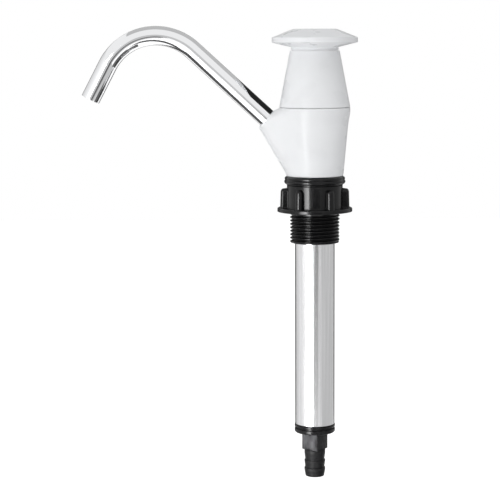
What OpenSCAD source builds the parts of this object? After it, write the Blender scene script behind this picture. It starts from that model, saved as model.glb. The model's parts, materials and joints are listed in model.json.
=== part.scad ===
// Hand lift pump for a water jug: a swivel spout head on a threaded sleeve, over a long pump cylinder.
// All sizes are millimetres. The origin is on the pump's axis, at the top end of the free screw thread.
// +Z runs up the axis to the knob, and the spout points along -X.

/* [Mounting thread] */
// Outside diameter of the pipe thread
thread_d = 33.25; // [27:0.05:42]
// Free length of thread below the relief
thread_len = 19.1; // [14:0.1:30]
// Plain relief between the thread and the lock nut's flange
relief_h = 1.8; // [1.2:0.1:4]
// Depth of the relief below the top of the thread
relief_depth = 0.62; // [0.3:0.01:1]

/* [Lock nut] */
// Wall of the nut's round body
nut_wall = 1.5; // [1.2:0.1:5]
// Height of the nut with its flange
nut_h = 17.8; // [14:0.1:26]
// How far the flange stands out past the round body
flange_w = 6.9; // [5:0.1:12]
// Thickness of the flange
flange_h = 2.6; // [2.2:0.1:5]
// Number of finger ribs round the nut
rib_count = 6; // [4:1:10]
// Width of a finger rib
rib_w = 5.2; // [3:0.1:7]
// How far a rib stands out at its foot
rib_reach = 5.1; // [2:0.1:5.5]

/* [Sleeve collar] */
// Height of the narrow collar under the beads
collar_h = 0.6; // [0.3:0.1:5]
// How far the lower bead stands out past the head's foot
bead_low_out = 1.4; // [0.5:0.05:3]
// How far the upper bead stands out past the head's foot
bead_top_out = 1.15; // [0.5:0.05:3]
// Height of the beaded ring
bead_h = 5.2; // [4:0.1:8]
// Diameter of the spigot that the head turns on
spigot_d = 29; // [24:0.1:35]
// Height of the spigot
spigot_h = 12.1; // [10:0.1:15]

/* [Pump cylinder] */
// Wall of the sleeve between the cylinder and the thread's crest
sleeve_wall = 3.175; // [2.6:0.005:6]
// Wall of the cylinder
cylinder_wall = 1.4; // [0.8:0.1:2]
// Cylinder left above the piston at the top of its stroke
head_room = 22.6; // [16:0.1:40]
// How far the cylinder stands inside the sleeve above the thread's top
cylinder_in = 12; // [9:0.5:13]

/* [Spout head] */
// Height of the head from the beaded ring to the handle
head_h = 45.4; // [42:0.1:56]
// Diameter of the head at the bottom
head_foot_d = 38.1; // [37:0.1:42]
// Diameter of the head at the shoulder
head_shoulder_d = 44.4; // [42:0.1:48]
// Height of the shoulder above the head's foot
head_shoulder_h = 34.3; // [30:0.1:38]
// Diameter of the head at the handle
head_top_d = 47.2; // [46:0.1:52]
// Height of the straight band under the handle
head_band_h = 3.1; // [2:0.1:6]
// Wall round the spout at the beak's end face
beak_wall = 1.5; // [1:0.1:4]
// Distance of the beak's face from the pump's axis, measured level
beak_out = 31.7; // [30:0.1:36]
// Drop of the beak's face centre below the head's top
beak_drop = 6.96; // [6:0.01:10]
// Depth of the spout's socket in the beak
socket_depth = 17; // [12:0.5:18]

/* [Spout] */
// Outside diameter of the spout tube
spout_d = 12.7; // [10:0.1:16]
// Wall of the spout tube
spout_wall = 0.9; // [0.6:0.1:1.5]
// Rise of the spout above level
spout_rise = 42.6; // [38:0.1:46]
// Straight length from the beak to the bend
spout_run = 67.1; // [50:0.1:90]
// Radius of the bend at the tube's centre line
spout_bend_r = 36; // [25:0.5:45]
// Angle that the bend turns through
spout_turn = 104.8; // [90:0.1:130]
// Straight length from the bend to the mouth
spout_end = 25.5; // [10:0.5:40]

/* [Handle] */
// Height of the conical grip
grip_h = 38.2; // [34:0.1:60]
// Diameter of the grip at its neck
grip_neck_d = 33; // [31:0.1:38]
// Wall of the grip
grip_wall = 2.4; // [1.8:0.1:3]
// Thickness of the deck that the rod is fixed to
deck_h = 4; // [3:0.1:6]
// Diameter of the knob's rim
knob_d = 57; // [48:0.5:70]
// Height of the knob
knob_h = 13.3; // [12.5:0.1:18]
// How far the knob's neck stands in from the grip
knob_neck_in = 1; // [0:0.1:3]
// Height of the knob's neck
knob_neck_h = 0.9; // [0:0.1:3]
// Height of the rim's lower edge above the grip
knob_under_h = 4.5; // [3.2:0.1:6]
// Height of the upright rim
knob_rim_h = 3.2; // [3:0.1:6]
// Diameter of the knob's flat top
knob_flat_d = 29.1; // [20:0.1:40]

/* [Rod and piston] */
// Diameter of the pump rod
rod_d = 8; // [6.5:0.1:10]
// Diameter of the rod's threaded ends
rod_end_d = 6; // [4:0.1:6.5]
// Lift of the handle from its rest on the head
stroke = 100; // [60:1:160]
// Wall of the piston round its ball chamber
piston_wall = 4.2; // [3:0.1:6]
// How deep the ball's cage is plugged into the piston
cage_plug_h = 3.8; // [2:0.1:8]
// Radial gap between the piston and the cylinder
piston_gap = 0.3; // [0.2:0.05:0.5]
// Height of the piston above the foot valve at rest
piston_rise = 4; // [2:0.5:10]
// Gap round either valve ball for the water
ball_room = 2.5; // [1.5:0.1:3]
// Lift of either valve ball
ball_lift = 2.5; // [2:0.1:3]

/* [Foot] */
// Height of the foot's ring
foot_ring_h = 5.4; // [3:0.1:8]
// Wall of the foot's spigot round its ball chamber
foot_wall = 3.95; // [2.5:0.05:6]
// Floor under the foot's valve seat
seat_floor = 2.05; // [0.8:0.05:6]
// Side of the square spanner block
block_side = 12.6; // [11.5:0.1:16]
// Height of the square spanner block
block_h = 12.1; // [8:0.1:20]
// Diameter over the teeth of the hose barb
barb_d = 14.2; // [12:0.1:14.5]
// Diameter at the root of each tooth
barb_root_d = 13; // [11:0.1:13.5]
// Water way through the barb
barb_bore_d = 7.2; // [5:0.1:8.5]

/* [Hidden] */
$fn = 96;

// Clearances
run_gap = 0.05;      // round pieces that slide or turn in each other
seat_gap = 0.3;      // faces that part when the pump works
cut = 0.5;           // how far a cut runs past the face that it opens

// Levels of the sleeve and the nut, from the thread up
thread_r = thread_d / 2;
relief_r = thread_r - relief_depth;
sleeve_foot_z = -thread_len;
nut_z = relief_h;
nut_top_z = nut_z + nut_h;
collar_z = nut_top_z + seat_gap;
bead_z = collar_z + collar_h;
head_z = bead_z + bead_h;
head_top_z = head_z + head_h;
spigot_r = spigot_d / 2;
head_foot_r = head_foot_d / 2;
spigot_top_z = head_z + spigot_h;
thread_chamfer = 0.5;

// Rings of rubber cord, and the grooves that hold them
cord_d = 1.55;
groove_h = 1.8;
clip_h = 1.4;
clip_depth = 1.4;
seal_low_z = head_z + 2.5;
seal_high_z = head_z + spigot_h - 2.6;
clip_z = (seal_low_z + seal_high_z) / 2;

// Cylinder: the sleeve's bore above it is smaller, so that the cylinder stops there
cylinder_r = thread_r - sleeve_wall - run_gap;
bore_r = cylinder_r - cylinder_wall;
cylinder_top_z = cylinder_in;
cylinder_seal_z = relief_h + 3.4;
sleeve_bore_r = min(spigot_r - 3, bore_r - 0.5);

// Piston: its ball rests in a 45 degree seat and is stopped by the cage's rim
ball_float = 0.2;
piston_r = bore_r - piston_gap;
piston_chamber_r = piston_r - piston_wall;
piston_ball_r = piston_chamber_r - ball_room;
piston_inlet_r = piston_ball_r * 0.66;
piston_way_r = piston_ball_r * 0.84;
piston_seat_h = 2;
piston_ball_up = piston_seat_h - piston_inlet_r + ball_float + piston_ball_r * sqrt(2);
cage_rim_up = piston_ball_up + ball_lift + sqrt(pow(piston_ball_r, 2) - pow(piston_way_r, 2));
piston_h = cage_rim_up + cage_plug_h;
piston_flange_h = 2;

// Foot: its ball rests in the same kind of seat, above the floor of the ring
foot_spigot_r = bore_r - run_gap;
chamber_r = foot_spigot_r - foot_wall;
foot_ball_r = chamber_r - ball_room;
foot_inlet_r = foot_ball_r * 0.66;
foot_ball_up = seat_floor - foot_inlet_r + ball_float + foot_ball_r * sqrt(2);
cage_h = 3;
cage_r = chamber_r + 0.55;
foot_spigot_h = foot_ball_up + foot_ball_r + ball_lift + cage_h - foot_ring_h;

// Levels of the cylinder and the foot, from the sleeve down
foot_top_z = cylinder_top_z - head_room - stroke - piston_flange_h - piston_h - piston_rise;
cylinder_foot_z = foot_top_z - foot_spigot_h;
foot_seal_z = cylinder_foot_z + 4.5;
block_z = cylinder_foot_z - foot_ring_h;
foot_ball_z = block_z + foot_ball_up;
foot_apex_z = block_z + seat_floor - foot_inlet_r;
cage_z = foot_top_z - cage_h;
barb_z = block_z - block_h;
block_turn = -38;

// Teeth of the hose barb: top of each tooth below the block, and the plain land at its crest
barb_steps = [0.6, 7.45, 12.8];
barb_lands = [2.2, 0.7, 0.7];
barb_len = 18.7;
barb_nose = 0.7;
barb_neck_r = min(barb_root_d, block_side) / 2 - 0.1;

// Levels of the piston
piston_z = foot_top_z + piston_rise;
piston_apex_z = piston_z + piston_seat_h - piston_inlet_r;
piston_ball_z = piston_z + piston_ball_up;
cage_rim_z = piston_z + cage_rim_up;
piston_top_z = piston_z + piston_h;
piston_boss_h = 14;
piston_boss_r = rod_d / 2 + 2.5;
boss_top_z = piston_top_z + piston_flange_h + piston_boss_h;
piston_groove_h = 2.1;
piston_cord_d = 1.8;
piston_seal_r = bore_r - run_gap - piston_cord_d / 2;
rod_r = rod_d / 2;
rod_end_r = rod_end_d / 2;
rod_screw_h = 6;

// Levels of the handle
grip_z = head_top_z + seat_gap;
grip_top_z = grip_z + grip_h;
deck_z = grip_top_z - deck_h;
head_top_r = head_top_d / 2;
grip_neck_r = grip_neck_d / 2;
grip_spigot_r = grip_neck_r - 4.5;
grip_spigot_h = 3;
washer_h = 1.2;
washer_r = rod_end_r * 2.1;
rod_nut_h = 5;
rod_nut_r = rod_end_r * 1.92;
rod_top_z = grip_top_z + washer_h + rod_nut_h + 1.2;
recess_r = grip_spigot_r - 2.5;
recess_top_z = rod_top_z + 0.6;
boss_r = rod_r + 3;
boss_h = 8;

// Gland in the head's top
gland_r = rod_r + 4;
gland_depth = 12;
gland_z = head_top_z - gland_depth;
gland_seal_h = 3;
gland_bush_h = 4;
gland_bush_z = gland_z + gland_seal_h;
gland_nut_z = gland_bush_z + gland_bush_h;
gland_head_h = 3.5;
gland_head_r = gland_r + 3.6;
septum_h = 5;
locator_h = 1.2;
locator_r = head_top_r - grip_wall - 0.7;

// Spout, in its own plane: X to the left of the pump and Z up
spout_r = spout_d / 2;
spout_bore_r = spout_r - spout_wall;
beak_r = spout_r + run_gap + beak_wall;
face_x = -beak_out;
face_z = head_top_z - beak_drop;
water_way_r = spout_bore_r - 0.95;
spout_seal_depth = 8;
lap = 0.5;           // how far the mouth's straight laps over the end of the bend
lap_swell = 0.01;    // how much thicker its wall is, inside and outside
spout_cord_d = 1.3;

// Lock nut details: the collar above it overhangs its round body
nut_bore_r = thread_r + 0.075;
nut_r = nut_bore_r + nut_wall;
collar_r = nut_r + 0.5;
flange_r = nut_r + flange_w;
rib_lean = 0.5;
rib_top_gap = 2.1;
rib_round = 2.4;
nut_rest_turn = -4;
gasket_cord_d = 1.5;
gasket_in_r = nut_bore_r + 1.8;
gasket_w = 1.7;

function unit(v) = v / norm(v);
function in_plane(corner) = [corner[0], corner[1]];

// A closed outline from corners [r, z, fillet]. The fillets are drawn as short chords.
function filleted(corners, steps = 5) = [
  for (i = [0 : len(corners) - 1])
    let (n = len(corners), here = in_plane(corners[i]), r = corners[i][2],
         back = unit(in_plane(corners[(i + n - 1) % n]) - here),
         ahead = unit(in_plane(corners[(i + 1) % n]) - here))
      each r == 0 ? [here] :
        let (half = acos(back * ahead) / 2, centre = here + unit(back + ahead) * r / sin(half),
             start = here + back * r / tan(half) - centre,
             side = sign(start[0] * ahead[1] - start[1] * ahead[0]))
          [for (k = [0 : steps])
            let (a = side * (180 - 2 * half) * k / steps)
              centre + [start[0] * cos(a) - start[1] * sin(a), start[0] * sin(a) + start[1] * cos(a)]]
];

// Moves the children to the beak's face and turns their Z out along the spout
module at_beak() {
  translate([face_x, 0, face_z])
    rotate([0, spout_rise - 90, 0])
      children();
}

// A ring of round rubber cord
module cord_ring(mid_r, thick) {
  rotate_extrude()
    translate([mid_r, 0])
      circle(d = thick);
}

// A plain ring between two radii
module flat_ring(outer_r, inner_r, h) {
  difference() {
    cylinder(r = outer_r, h = h);
    translate([0, 0, -cut])
      cylinder(r = inner_r, h = h + 2 * cut);
  }
}

// A groove cut into the outside of a round piece
module outer_groove(surface_r, depth, h) {
  translate([0, 0, -h / 2])
    flat_ring(surface_r + cut, surface_r - depth, h);
}

// Knob that the hand pushes on, with a recess for the rod's nut
module knob_cap() {
  rim_z = grip_top_z + knob_under_h;
  neck_r = grip_neck_r - knob_neck_in;
  color("white")
    difference() {
      rotate_extrude()
        polygon(filleted([[0, grip_top_z, 0], [neck_r, grip_top_z, 0], [neck_r, grip_top_z + knob_neck_h, 0],
                          [knob_d / 2, rim_z, 0.8], [knob_d / 2, rim_z + knob_rim_h, 1.4],
                          [knob_flat_d / 2, grip_top_z + knob_h, 2], [0, grip_top_z + knob_h, 0]]));
      translate([0, 0, grip_top_z - cut])
        cylinder(r = grip_spigot_r + run_gap, h = grip_spigot_h + cut + 0.2);
      translate([0, 0, grip_top_z])
        cylinder(r = recess_r, h = recess_top_z - grip_top_z);
    }
}

// Hollow grip, with a deck for the rod and ribs round its boss
module handle_cone() {
  slope = (head_top_r - grip_neck_r) / grip_h;
  inner_foot_r = head_top_r - grip_wall;
  inner_top_r = inner_foot_r - slope * (deck_z - grip_z);
  color("white")
    difference() {
      union() {
        rotate_extrude()
          polygon([[inner_foot_r, grip_z], [head_top_r, grip_z], [grip_neck_r, grip_top_z], [0, grip_top_z],
                   [0, deck_z], [inner_top_r, deck_z]]);
        translate([0, 0, grip_top_z])
          flat_ring(grip_spigot_r, recess_r, grip_spigot_h);
        translate([0, 0, deck_z - boss_h])
          cylinder(r = boss_r, h = boss_h + cut);
        for (turn = [0 : 90 : 270])
          rotate([0, 0, turn + 45])
            translate([boss_r - 1, -0.8, deck_z - boss_h + 2])
              cube([inner_top_r - boss_r + 2, 1.6, boss_h]);
      }
      translate([0, 0, deck_z - boss_h - cut])
        cylinder(r = rod_r + run_gap, h = boss_h + cut);
      translate([0, 0, deck_z - cut])
        cylinder(r = rod_end_r + run_gap, h = deck_h + 2 * cut);
    }
}

// Hexagon nut that clamps the handle to the rod
module rod_nut() {
  color("silver")
    translate([0, 0, grip_top_z + washer_h])
      difference() {
        cylinder(r = rod_nut_r, h = rod_nut_h, $fn = 6);
        translate([0, 0, -cut])
          cylinder(r = rod_end_r + run_gap, h = rod_nut_h + 2 * cut);
      }
}

module rod_washer() {
  color("silver")
    translate([0, 0, grip_top_z])
      flat_ring(washer_r, rod_end_r + run_gap, washer_h);
}

// Pump rod, stepped down at both ends for its threads
module piston_rod() {
  color("lightsteelblue")
    union() {
      translate([0, 0, boss_top_z])
        cylinder(r = rod_r, h = deck_z - boss_top_z);
      translate([0, 0, boss_top_z - rod_screw_h])
        cylinder(r = rod_end_r, h = rod_top_z - boss_top_z + rod_screw_h);
    }
}

// Bridge that joins the rod to the piston and stops the ball
module piston_cage() {
  window_z = piston_top_z + piston_flange_h + 2.6;
  color("whitesmoke")
    difference() {
      union() {
        translate([0, 0, cage_rim_z])
          cylinder(r = piston_chamber_r - run_gap, h = piston_top_z - cage_rim_z + cut);
        translate([0, 0, piston_top_z])
          cylinder(r = piston_r - 1.2, h = piston_flange_h);
        translate([0, 0, piston_top_z])
          cylinder(r = piston_boss_r, h = boss_top_z - piston_top_z);
      }
      translate([0, 0, cage_rim_z - cut])
        cylinder(r = piston_way_r, h = window_z + 2 - cage_rim_z + cut);
      for (turn = [0, 90]) {
        rotate([0, 0, turn])
          translate([0, 0, window_z])
            rotate([90, 0, 0])
              cylinder(r = 1.9, h = 2 * piston_boss_r + 2 * cut, center = true);
        rotate([0, 0, turn])
          translate([-piston_chamber_r - cut, -1.2, cage_rim_z - cut])
            cube([2 * piston_chamber_r + 2 * cut, 2.4, 1.8 + cut]);
      }
      translate([0, 0, boss_top_z - rod_screw_h])
        cylinder(r = rod_end_r + run_gap, h = rod_screw_h + cut);
    }
}

// Piston with a valve seat in its floor and two seal grooves
module piston_body() {
  color("dimgray")
    difference() {
      translate([0, 0, piston_z])
        cylinder(r = piston_r, h = piston_h);
      translate([0, 0, piston_z - cut])
        cylinder(r = piston_inlet_r, h = piston_h);
      translate([0, 0, piston_apex_z])
        cylinder(r1 = 0, r2 = piston_chamber_r, h = piston_chamber_r);
      translate([0, 0, piston_apex_z + piston_chamber_r])
        cylinder(r = piston_chamber_r, h = piston_top_z - piston_apex_z);
      for (share = [0.27, 0.73])
        translate([0, 0, piston_z + share * piston_h])
          outer_groove(piston_r, piston_r - piston_seal_r + piston_cord_d / 2 + run_gap, piston_groove_h);
    }
}

module piston_seals() {
  color("black")
    for (share = [0.27, 0.73])
      translate([0, 0, piston_z + share * piston_h])
        cord_ring(piston_seal_r, piston_cord_d);
}

module piston_ball() {
  color("silver")
    translate([0, 0, piston_ball_z])
      sphere(r = piston_ball_r);
}

// Half of a thin disc of the head, on the side that faces the spout
module beak_root(disc_r, disc_h) {
  start = 6;
  intersection() {
    cylinder(r = disc_r, h = disc_h, $fn = 64);
    translate([-disc_r - start, -disc_r, 0])
      cube([disc_r, 2 * disc_r, disc_h]);
  }
}

// Moulded head: a waisted round body that draws out into the beak round the spout's socket
module spout_body() {
  inset = 0.3;
  bore_top_z = spigot_top_z + cut;
  foot_round = 0.7;
  rim_round = 0.4;
  color("white")
    difference() {
      union() {
        rotate_extrude()
          polygon(filleted([[0, head_z, 0], [head_foot_r, head_z, foot_round],
                            [head_shoulder_d / 2, head_z + head_shoulder_h, 30],
                            [head_top_r, head_top_z - head_band_h, 16], [head_top_r, head_top_z, 0],
                            [0, head_top_z, 0]]));
        translate([0, 0, head_top_z - cut])
          cylinder(r = locator_r, h = locator_h + cut);
        hull() {
          at_beak() {
            translate([0, 0, -1.5])
              cylinder(r = beak_r, h = 1.5 - rim_round, $fn = 48);
            translate([0, 0, -rim_round])
              cylinder(r1 = beak_r, r2 = beak_r - rim_round, h = rim_round, $fn = 48);
          }
          translate([0, 0, head_z + foot_round])
            beak_root(head_foot_r - inset, 0.5);
          translate([0, 0, head_top_z - head_band_h])
            beak_root(head_top_r - inset, head_band_h - 0.2);
        }
      }
      translate([0, 0, head_z - cut])
        cylinder(r = spigot_r + run_gap, h = bore_top_z - head_z + cut);
      translate([0, 0, clip_z - clip_h / 2 - 0.1])
        cylinder(r = spigot_r + run_gap + clip_depth / 2, h = clip_h + 0.2);
      translate([0, 0, bore_top_z - cut])
        cylinder(r = spigot_r - 3.5, h = gland_z - septum_h - bore_top_z + cut);
      translate([0, 0, gland_z - septum_h - cut])
        cylinder(r = rod_r + 0.3, h = septum_h + 2 * cut);
      translate([0, 0, gland_z])
        cylinder(r = gland_r, h = gland_depth + locator_h + cut);
      at_beak() {
        translate([0, 0, -socket_depth])
          cylinder(r = spout_r + run_gap, h = socket_depth + cut);
        translate([0, 0, -spout_seal_depth - groove_h / 2])
          cylinder(r = spout_r + run_gap + spout_cord_d, h = groove_h);
        translate([0, 0, -socket_depth - 14])
          cylinder(r = water_way_r, h = 14 + cut);
      }
    }
}

// The spout's path, thickened to a given radius: a straight, a bend and a straight that laps over the bend
module spout_path(r, past, swell) {
  at_beak() {
    translate([0, 0, -socket_depth - past])
      cylinder(r = r, h = socket_depth + spout_run + past);
    translate([-spout_bend_r, 0, spout_run])
      rotate([90, 0, 0])
        rotate_extrude(angle = spout_turn)
          translate([spout_bend_r, 0])
            circle(r = r);
    translate([-spout_bend_r, 0, spout_run])
      rotate([0, -spout_turn, 0])
        translate([spout_bend_r, 0, -lap])
          cylinder(r = r + swell, h = lap + spout_end + past);
  }
}

module spout_tube() {
  color("lightgray")
    difference() {
      spout_path(spout_r, 0, lap_swell);
      spout_path(spout_bore_r, cut, -lap_swell);
    }
}

module spout_seal() {
  color("black")
    at_beak()
      translate([0, 0, -spout_seal_depth])
        cord_ring(spout_r + run_gap + spout_cord_d / 2, spout_cord_d);
}

// Screwed gland that holds the bush and the seal round the rod
module gland_nut() {
  color("whitesmoke")
    difference() {
      union() {
        translate([0, 0, gland_nut_z])
          cylinder(r = gland_r - run_gap, h = head_top_z + locator_h - gland_nut_z);
        translate([0, 0, head_top_z + locator_h])
          cylinder(r = gland_head_r, h = gland_head_h, $fn = 6);
      }
      translate([0, 0, gland_nut_z - cut])
        cylinder(r = rod_r + 0.2, h = gland_depth + gland_head_h + locator_h);
    }
}

module gland_bush() {
  color("ivory")
    translate([0, 0, gland_bush_z])
      flat_ring(gland_r - run_gap, rod_r + run_gap, gland_bush_h);
}

// Cup seal, open downwards to the water
module gland_seal() {
  lip = 1.2;
  color("black")
    translate([0, 0, gland_z])
      difference() {
        flat_ring(gland_r - run_gap, rod_r + run_gap, gland_seal_h);
        translate([0, 0, -cut])
          flat_ring(gland_r - lip, rod_r + lip, gland_seal_h / 2 + cut);
      }
}

// Split spring ring that keeps the head on its spigot
module swivel_clip() {
  color("silver")
    translate([0, 0, clip_z - clip_h / 2])
      difference() {
        flat_ring(spigot_r + clip_depth / 2, spigot_r - clip_depth + 0.1, clip_h);
        translate([0, -1.5, -cut])
          cube([spigot_d, 3, clip_h + 2 * cut]);
      }
}

module swivel_seals() {
  color("black")
    for (level = [seal_low_z, seal_high_z])
      translate([0, 0, level])
        cord_ring(spigot_r - cord_d / 2, cord_d);
}

// Threaded sleeve with the beaded ring under the head and the spigot inside it
module threaded_sleeve() {
  relief_top_z = nut_z + 0.5;
  bead_low_r = 1.5;
  bead_top_r = 1.3;
  color("#1c1c1e")
    difference() {
      union() {
        rotate_extrude()
          polygon([[0, sleeve_foot_z], [thread_r - thread_chamfer, sleeve_foot_z],
                   [thread_r, sleeve_foot_z + thread_chamfer], [thread_r, 0], [relief_r, 0],
                   [relief_r, relief_top_z], [thread_r, relief_top_z], [thread_r, collar_z],
                   [collar_r, collar_z], [collar_r, bead_z], [head_foot_r, bead_z],
                   [head_foot_r, head_z], [spigot_r, head_z], [spigot_r, spigot_top_z - 0.5],
                   [spigot_r - 0.5, spigot_top_z], [0, spigot_top_z]]);
        translate([0, 0, bead_z + 1.6])
          cord_ring(head_foot_r + bead_low_out - bead_low_r, 2 * bead_low_r);
        translate([0, 0, head_z - 1.75])
          cord_ring(head_foot_r + bead_top_out - bead_top_r, 2 * bead_top_r);
      }
      translate([0, 0, sleeve_foot_z - cut])
        cylinder(r = cylinder_r + run_gap, h = cylinder_top_z - sleeve_foot_z + cut);
      translate([0, 0, cylinder_top_z - cut])
        cylinder(r = sleeve_bore_r, h = spigot_top_z - cylinder_top_z + 2 * cut);
      translate([0, 0, cylinder_seal_z - groove_h / 2])
        cylinder(r = cylinder_r + run_gap + cord_d, h = groove_h);
      for (level = [seal_low_z, seal_high_z])
        translate([0, 0, level])
          outer_groove(spigot_r, cord_d + run_gap, groove_h);
      translate([0, 0, clip_z])
        outer_groove(spigot_r, clip_depth, clip_h + 0.2);
    }
}

// One finger rib: a leaning outer face, an arched top and a rounded upper corner
module nut_rib() {
  top_z = nut_h - rib_top_gap;
  foot_r = nut_r + rib_reach;
  top_r = foot_r - rib_lean;
  root_r = nut_r - 1;
  intersection() {
    rotate([90, 0, 0])
      linear_extrude(rib_w, center = true)
        union() {
          polygon([[root_r, 0], [foot_r, 0], [top_r, top_z - rib_round], [top_r - rib_round, top_z],
                   [root_r, top_z]]);
          translate([top_r - rib_round, top_z - rib_round])
            circle(r = rib_round);
        }
    translate([root_r - cut, 0, 0])
      rotate([90, 0, 90])
        linear_extrude(rib_reach + 2 + 2 * cut)
          union() {
            translate([-rib_w / 2, 0])
              square([rib_w, top_z - rib_w / 2]);
            translate([0, top_z - rib_w / 2])
              circle(d = rib_w);
          }
  }
}

// Ribbed lock nut with a broad flange and a gasket groove in its underside
module lock_nut() {
  color("#202022")
    translate([0, 0, nut_z])
      difference() {
        union() {
          cylinder(r = nut_r, h = nut_h);
          rotate_extrude()
            polygon([[0, 0], [flange_r - 0.5, 0], [flange_r, 0.5], [flange_r, flange_h - 0.7],
                     [flange_r - 0.7, flange_h], [0, flange_h]]);
          for (i = [0 : rib_count - 1])
            rotate([0, 0, nut_rest_turn + i * 360 / rib_count])
              nut_rib();
        }
        translate([0, 0, -cut])
          cylinder(r = nut_bore_r, h = nut_h + 2 * cut);
        translate([0, 0, -cut])
          flat_ring(gasket_in_r + gasket_w, gasket_in_r, gasket_cord_d + 0.15 + cut);
      }
}

module lock_nut_seal() {
  color("black")
    translate([0, 0, nut_z + gasket_cord_d / 2 + 0.05])
      cord_ring(gasket_in_r + gasket_w / 2, gasket_cord_d);
}

// Drawn tube that the piston runs in
module cylinder_tube() {
  color("gainsboro")
    translate([0, 0, cylinder_foot_z])
      flat_ring(cylinder_r, bore_r, cylinder_top_z - cylinder_foot_z);
}

module cylinder_seal() {
  color("black")
    translate([0, 0, cylinder_seal_z])
      cord_ring(cylinder_r + run_gap + cord_d / 2, cord_d);
}

// Outline of the hose barb, from the block down: a short neck, then teeth that are widest at their tops
function barb_outline() = [
  [barb_neck_r, barb_z + cut],
  [barb_neck_r, barb_z - barb_steps[0]],
  for (i = [0 : len(barb_steps) - 1])
    let (top = barb_steps[i], next = i + 1 < len(barb_steps) ? barb_steps[i + 1] : barb_len - barb_nose)
      each [[barb_d / 2, barb_z - top], [barb_d / 2, barb_z - top - barb_lands[i]],
            [barb_root_d / 2, barb_z - next]]
];

// Foot: ring under the cylinder, spigot with the valve seat, spanner block and hose barb
module foot_fitting() {
  groove_z = cylinder_foot_z - 1.1;
  ring_r = cylinder_r + 0.3;
  color("#232325")
    difference() {
      union() {
        rotate_extrude()
          polygon([[0, block_z], [ring_r - 1.3, block_z], [ring_r, block_z + 1.3],
                   [ring_r, groove_z - 0.8], [ring_r - 0.7, groove_z - 0.8],
                   [ring_r - 0.7, groove_z], [ring_r, groove_z],
                   [ring_r, cylinder_foot_z], [foot_spigot_r, cylinder_foot_z],
                   [foot_spigot_r, foot_top_z], [0, foot_top_z]]);
        rotate([0, 0, block_turn])
          translate([-block_side / 2, -block_side / 2, barb_z])
            cube([block_side, block_side, block_h + cut]);
        rotate_extrude()
          polygon(concat([[0, barb_z + cut]], barb_outline(),
                         [[barb_root_d / 2 - barb_nose, barb_z - barb_len], [0, barb_z - barb_len]]));
      }
      translate([0, 0, barb_z - barb_len - cut])
        cylinder(d = barb_bore_d, h = block_z - barb_z + barb_len + 2 * cut);
      translate([0, 0, block_z])
        cylinder(r = foot_inlet_r, h = seat_floor + cut);
      translate([0, 0, foot_apex_z])
        cylinder(r1 = 0, r2 = chamber_r, h = chamber_r);
      translate([0, 0, foot_apex_z + chamber_r])
        cylinder(r = chamber_r, h = foot_top_z - foot_apex_z);
      translate([0, 0, cage_z])
        cylinder(r = cage_r, h = cage_h + cut);
      translate([0, 0, foot_seal_z])
        outer_groove(foot_spigot_r, cord_d + run_gap, groove_h);
    }
}

module foot_seal() {
  color("black")
    translate([0, 0, foot_seal_z])
      cord_ring(foot_spigot_r - cord_d / 2, cord_d);
}

module foot_ball() {
  color("silver")
    translate([0, 0, foot_ball_z])
      sphere(r = foot_ball_r);
}

// Ring with a crossbar that keeps the foot's ball in its chamber
module foot_ball_cage() {
  ring_r = cage_r - run_gap;
  color("whitesmoke")
    translate([0, 0, cage_z])
      union() {
        flat_ring(ring_r, ring_r - 1.8, cage_h);
        for (turn = [0, 90])
          rotate([0, 0, turn])
            translate([-ring_r + 0.9, -1, 0])
              cube([2 * ring_r - 1.8, 2, 1.8]);
      }
}

knob_cap();
handle_cone();
rod_nut();
rod_washer();
piston_rod();
piston_cage();
piston_body();
piston_seals();
piston_ball();
spout_body();
spout_tube();
spout_seal();
gland_nut();
gland_bush();
gland_seal();
swivel_clip();
swivel_seals();
threaded_sleeve();
lock_nut();
lock_nut_seal();
cylinder_tube();
cylinder_seal();
foot_fitting();
foot_seal();
foot_ball();
foot_ball_cage();
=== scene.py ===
# Hand lift pump for a water jug: a chromed swivel spout in a white head, on a black threaded sleeve,
# over an aluminium cylinder with a black hose tail. The sections follow the pump as it is put together.
import json
import math

import bmesh
import bpy
import numpy as np
from mathutils import Matrix, Vector
from mathutils.bvhtree import BVHTree


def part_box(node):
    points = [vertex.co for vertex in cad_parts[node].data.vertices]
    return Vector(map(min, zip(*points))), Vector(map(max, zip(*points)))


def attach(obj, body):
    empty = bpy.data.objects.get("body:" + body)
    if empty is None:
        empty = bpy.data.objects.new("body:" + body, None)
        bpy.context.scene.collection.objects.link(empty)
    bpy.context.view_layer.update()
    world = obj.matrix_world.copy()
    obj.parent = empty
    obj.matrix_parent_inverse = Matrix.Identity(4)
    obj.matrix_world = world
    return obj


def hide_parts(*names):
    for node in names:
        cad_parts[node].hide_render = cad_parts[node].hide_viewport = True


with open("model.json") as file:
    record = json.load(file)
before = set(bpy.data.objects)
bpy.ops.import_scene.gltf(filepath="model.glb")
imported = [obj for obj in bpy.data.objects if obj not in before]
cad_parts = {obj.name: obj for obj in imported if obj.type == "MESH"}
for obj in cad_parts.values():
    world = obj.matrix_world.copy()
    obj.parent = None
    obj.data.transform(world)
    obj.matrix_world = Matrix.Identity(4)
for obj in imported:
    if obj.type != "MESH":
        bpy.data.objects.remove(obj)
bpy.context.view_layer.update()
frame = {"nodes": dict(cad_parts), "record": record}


# ---------------------------------------------------------------- threaded sleeve
# One black nylon moulding: a 1 inch pipe thread, a narrow collar, a ring of two soft beads and, inside the
# head, the spigot that the head turns on. The cylinder is pushed up into it from below.
MM = 0.001
CREASE = 34
EDGE = 0.3
RUN_GAP = 0.05


def level(node, end):
    """The lowest (end 0) or highest (end 1) level of a CAD node, in millimetres."""
    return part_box(node)[end][2] / MM


def radius(node):
    """Half of a round CAD node's width, in millimetres."""
    low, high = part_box(node)
    return (high[1] - low[1]) / 2 / MM


def unit(vector):
    return vector / np.linalg.norm(vector)


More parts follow.
